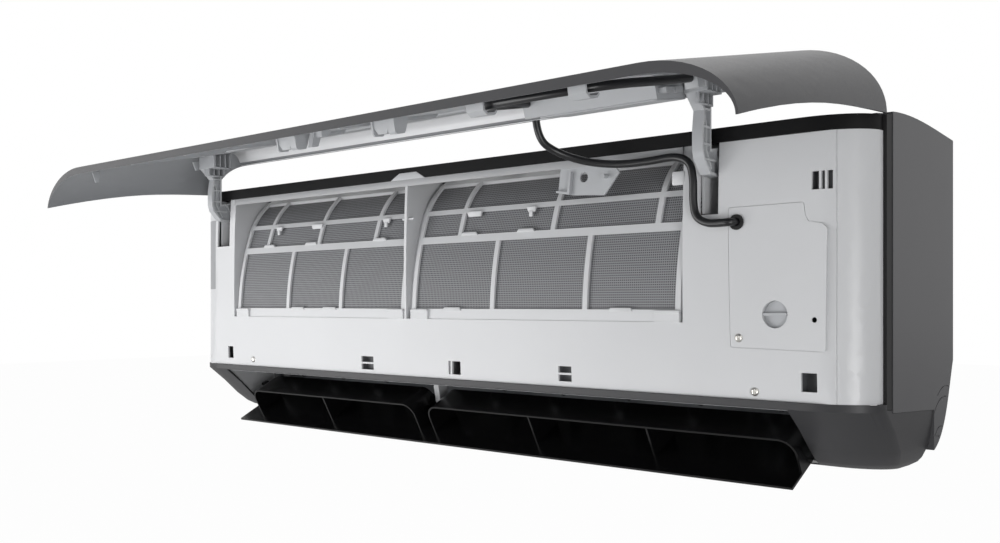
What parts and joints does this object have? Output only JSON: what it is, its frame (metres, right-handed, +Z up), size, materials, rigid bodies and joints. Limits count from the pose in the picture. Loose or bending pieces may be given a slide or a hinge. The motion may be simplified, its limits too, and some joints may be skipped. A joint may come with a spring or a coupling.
{
  "type": "mini split indoor unit",
  "caption": "Wall-hung room air conditioner with its front panel raised on gooseneck arms, showing filters, terminal cover and open air louver.",
  "frame": {"origin": "on the wall, at the centre of the mounting plate's four screw holes", "axes": "+X to the right seen from the room, +Y into the wall, +Z up"},
  "size_m": [0.998, 0.4199, 0.3881],
  "materials": {
    "frame_white": "smooth moulded white",
    "rail_black": "dark, slightly glossy",
    "shell_grey": "fine texture, dark grey",
    "panel_grey": "painted dark grey",
    "liner_grey": "light grey moulding",
    "filter_white": "moulded, slightly translucent",
    "mesh_grey": "fine woven net",
    "louver_black": "black, glossy",
    "seal_rubber": "soft black",
    "lead_black": "black sheath",
    "fin_aluminium": "thin fins",
    "copper": "drawn copper tube",
    "zinc_steel": "zinc plated",
    "nut_brass": "turned brass",
    "motor_steel": "painted",
    "chassis_grey": "moulded grey",
    "board_green": "circuit board",
    "fan_black": "moulded, glass filled"
  },
  "bodies": {
    "unit": {"mounting_plate": "zinc_steel", "rear_chassis": "chassis_grey", "front_frame": "frame_white", "top_rail": "rail_black", "top_grille": "shell_grey", "left_side_panel": "shell_grey", "right_side_panel": "shell_grey", "side_seals": "seal_rubber", "lower_housing": "shell_grey", "terminal_cover": "frame_white", "front_screws": "zinc_steel", "lead_grommet": "seal_rubber", "lead_bracket": "liner_grey", "coil_front": "fin_aluminium", "coil_rear": "fin_aluminium", "coil_tubes": "copper", "coil_end_plates": "zinc_steel", "drain_pan": "chassis_grey", "drain_spigot": "rail_black", "outlet_frame": "liner_grey", "fan_bush": "seal_rubber", "fan_motor": "motor_steel", "motor_bracket": "chassis_grey", "control_box": "frame_white", "control_board": "board_green", "terminal_block": "rail_black", "louver_motor": "frame_white", "gas_pipe": "copper", "liquid_pipe": "copper", "flare_nuts": "nut_brass", "hanging_lead": "lead_black", "hinge_pins": "zinc_steel"},
    "panel": {"front_panel": "panel_grey", "panel_liner": "liner_grey", "panel_clips": "liner_grey", "module_housing": "liner_grey", "module_cover": "liner_grey", "panel_lead": "lead_black", "left_arm": "liner_grey", "right_arm": "liner_grey"},
    "louver": {"louver_flap": "louver_black", "louver_hoods": "louver_black"},
    "fan": {"fan_rotor": "fan_black"},
    "filter_left": {"filter_frame_left": "filter_white", "filter_mesh_left": "mesh_grey"},
    "filter_right": {"filter_frame_right": "filter_white", "filter_mesh_right": "mesh_grey"},
    "latch": {"cover_latch": "frame_white"},
    "link_left": {"left_link_bar": "chassis_grey"},
    "link_right": {"right_link_bar": "chassis_grey"},
    "vane_1": {"vane_1": "rail_black"},
    "vane_2": {"vane_2": "rail_black"},
    "vane_3": {"vane_3": "rail_black"},
    "vane_4": {"vane_4": "rail_black"},
    "vane_5": {"vane_5": "rail_black"},
    "vane_6": {"vane_6": "rail_black"},
    "vane_7": {"vane_7": "rail_black"},
    "vane_8": {"vane_8": "rail_black"},
    "vane_9": {"vane_9": "rail_black"}
  },
  "joints": [
    {"name": "panel_hinge", "type": "hinge", "parent": "unit", "child": "panel", "pos_m": [0, -0.1665, 0.1495], "axis": [1, 0, 0], "range_deg": [0, 80], "deforming": ["hanging_lead"]},
    {"name": "louver_hinge", "type": "hinge", "parent": "unit", "child": "louver", "pos_m": [0, -0.135, -0.126], "axis": [1, 0, 0], "range_deg": [-68, 10]},
    {"name": "fan_spin", "type": "hinge", "parent": "unit", "child": "fan", "pos_m": [0, -0.085, -0.038], "axis": [1, 0, 0], "continuous": true},
    {"name": "filter_left_lift", "type": "slide", "parent": "unit", "child": "filter_left", "axis": [0, 0, 1], "range_m": [0, 0.004]},
    {"name": "filter_right_lift", "type": "slide", "parent": "unit", "child": "filter_right", "axis": [0, 0, 1], "range_m": [0, 0.004]},
    {"name": "latch_turn", "type": "hinge", "parent": "unit", "child": "latch", "pos_m": [0.4138, -0.2, -0.0188], "axis": [0, -1, 0], "range_deg": [0, 90]},
    {"name": "vane_1_swing", "type": "hinge", "parent": "unit", "child": "vane_1", "pos_m": [-0.38, -0.112, -0.094], "axis": [0, -0.8731, 0.4876], "range_deg": [-30, 30]},
    {"name": "vane_2_swing", "type": "hinge", "parent": "unit", "child": "vane_2", "pos_m": [-0.29, -0.112, -0.094], "axis": [0, -0.8731, 0.4876], "range_deg": [-30, 30]},
    {"name": "vane_3_swing", "type": "hinge", "parent": "unit", "child": "vane_3", "pos_m": [-0.2, -0.112, -0.094], "axis": [0, -0.8731, 0.4876], "range_deg": [-30, 30]},
    {"name": "vane_4_swing", "type": "hinge", "parent": "unit", "child": "vane_4", "pos_m": [-0.11, -0.112, -0.094], "axis": [0, -0.8731, 0.4876], "range_deg": [-30, 30]},
    {"name": "vane_5_swing", "type": "hinge", "parent": "unit", "child": "vane_5", "pos_m": [0.01, -0.112, -0.094], "axis": [0, -0.8731, 0.4876], "range_deg": [-30, 30]},
    {"name": "vane_6_swing", "type": "hinge", "parent": "unit", "child": "vane_6", "pos_m": [0.1, -0.112, -0.094], "axis": [0, -0.8731, 0.4876], "range_deg": [-30, 30]},
    {"name": "vane_7_swing", "type": "hinge", "parent": "unit", "child": "vane_7", "pos_m": [0.19, -0.112, -0.094], "axis": [0, -0.8731, 0.4876], "range_deg": [-30, 30]},
    {"name": "vane_8_swing", "type": "hinge", "parent": "unit", "child": "vane_8", "pos_m": [0.28, -0.112, -0.094], "axis": [0, -0.8731, 0.4876], "range_deg": [-30, 30]},
    {"name": "vane_9_swing", "type": "hinge", "parent": "unit", "child": "vane_9", "pos_m": [0.37, -0.112, -0.094], "axis": [0, -0.8731, 0.4876], "range_deg": [-30, 30]},
    {"name": "link_left_shift", "type": "slide", "parent": "unit", "child": "link_left", "axis": [1, 0, 0], "range_m": [-0.0045, 0.0045]},
    {"name": "link_right_shift", "type": "slide", "parent": "unit", "child": "link_right", "axis": [1, 0, 0], "range_m": [-0.0045, 0.0045]}
  ],
  "couplings": [
    {"joint": "vane_1_swing", "follows": "link_left_shift", "rad_per_m": -116.36},
    {"joint": "vane_2_swing", "follows": "link_left_shift", "rad_per_m": -116.36},
    {"joint": "vane_3_swing", "follows": "link_left_shift", "rad_per_m": -116.36},
    {"joint": "vane_4_swing", "follows": "link_left_shift", "rad_per_m": -116.36},
    {"joint": "vane_5_swing", "follows": "link_right_shift", "rad_per_m": -116.36},
    {"joint": "vane_6_swing", "follows": "link_right_shift", "rad_per_m": -116.36},
    {"joint": "vane_7_swing", "follows": "link_right_shift", "rad_per_m": -116.36},
    {"joint": "vane_8_swing", "follows": "link_right_shift", "rad_per_m": -116.36},
    {"joint": "vane_9_swing", "follows": "link_right_shift", "rad_per_m": -116.36}
  ]
}
